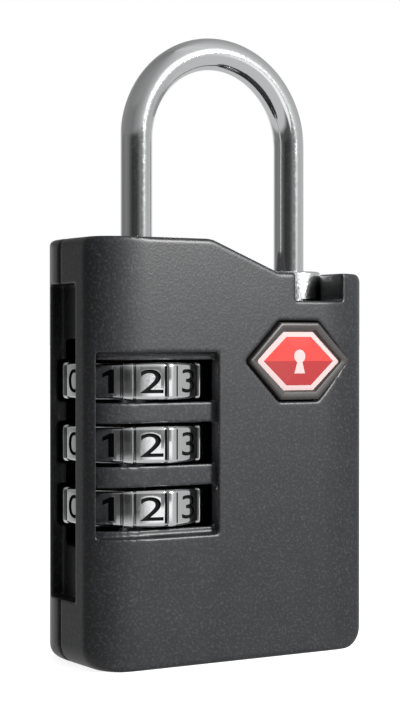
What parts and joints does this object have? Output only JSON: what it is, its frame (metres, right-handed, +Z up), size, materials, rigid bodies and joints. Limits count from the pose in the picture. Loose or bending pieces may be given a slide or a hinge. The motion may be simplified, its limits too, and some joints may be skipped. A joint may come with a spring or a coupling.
{
  "type": "luggage combination padlock",
  "caption": "Small luggage padlock with a lifting wire shackle, number dials behind a front window and side slot, and a key cylinder in the base.",
  "frame": {"origin": "on the base, under the middle of the whole lock", "axes": "+Z up towards the shackle, -Y the front with the dial window, -X the side with the thumb slot"},
  "size_m": [0.03, 0.0146, 0.0579],
  "materials": {
    "casing_coat": "matt charcoal powder coat with a fine grain",
    "chrome": "bright chrome plate",
    "steel_plate": "zinc plated pressed steel",
    "spring_steel": "drawn spring wire and strip",
    "brass": "turned brass",
    "badge_bezel": "satin black moulded rim",
    "badge_face": "clear domed print, two reds with a pale border"
  },
  "bodies": {
    "casing": {"front_casing": "casing_coat", "rear_casing": "casing_coat", "casing_rivet_1": "casing_coat", "casing_rivet_2": "casing_coat", "casing_rivet_3": "casing_coat", "casing_rivet_4": "casing_coat", "shackle_bush": "chrome", "shackle_spring": "spring_steel", "latch_spring": "spring_steel", "dial_spindle": "steel_plate", "detent_spring": "spring_steel", "key_housing": "brass", "badge_bezel": "badge_bezel", "badge_plate": "badge_face"},
    "shackle_bow": {"shackle": "chrome", "shackle_stop_ring": "spring_steel"},
    "latch": {"latch_plate": "steel_plate"},
    "top_dial": {"dial_top": "chrome", "dial_sleeve_top": "brass"},
    "middle_dial": {"dial_middle": "chrome", "dial_sleeve_middle": "brass"},
    "bottom_dial": {"dial_bottom": "chrome", "dial_sleeve_bottom": "brass"},
    "key_core": {"key_plug": "chrome", "key_wafer_1": "brass", "key_wafer_2": "brass", "key_wafer_3": "brass", "key_wafer_4": "brass", "key_cam": "steel_plate"}
  },
  "joints": [
    {"name": "shackle_lift", "type": "slide", "parent": "casing", "child": "shackle_bow", "axis": [0, 0, 1], "range_m": [0, 0.007], "deforming": ["shackle_spring"]},
    {"name": "latch_slide", "type": "slide", "parent": "casing", "child": "latch", "axis": [-1, 0, 0], "range_m": [0, 0.0021], "deforming": ["latch_spring"]},
    {"name": "top_dial_turn", "type": "hinge", "parent": "casing", "child": "top_dial", "pos_m": [-0.00755, -0.0004, 0.02565], "axis": [0, 0, 1], "continuous": true},
    {"name": "middle_dial_turn", "type": "hinge", "parent": "casing", "child": "middle_dial", "pos_m": [-0.00755, -0.0004, 0.01998], "axis": [0, 0, 1], "continuous": true},
    {"name": "bottom_dial_turn", "type": "hinge", "parent": "casing", "child": "bottom_dial", "pos_m": [-0.00755, -0.0004, 0.0143], "axis": [0, 0, 1], "continuous": true},
    {"name": "key_turn", "type": "hinge", "parent": "casing", "child": "key_core", "pos_m": [0.0045, 0, 0.005], "axis": [0, 0, -1], "range_deg": [0, 90]}
  ],
  "couplings": [
    {"joint": "latch_slide", "follows": "shackle_lift", "ratio": 0.3}
  ]
}
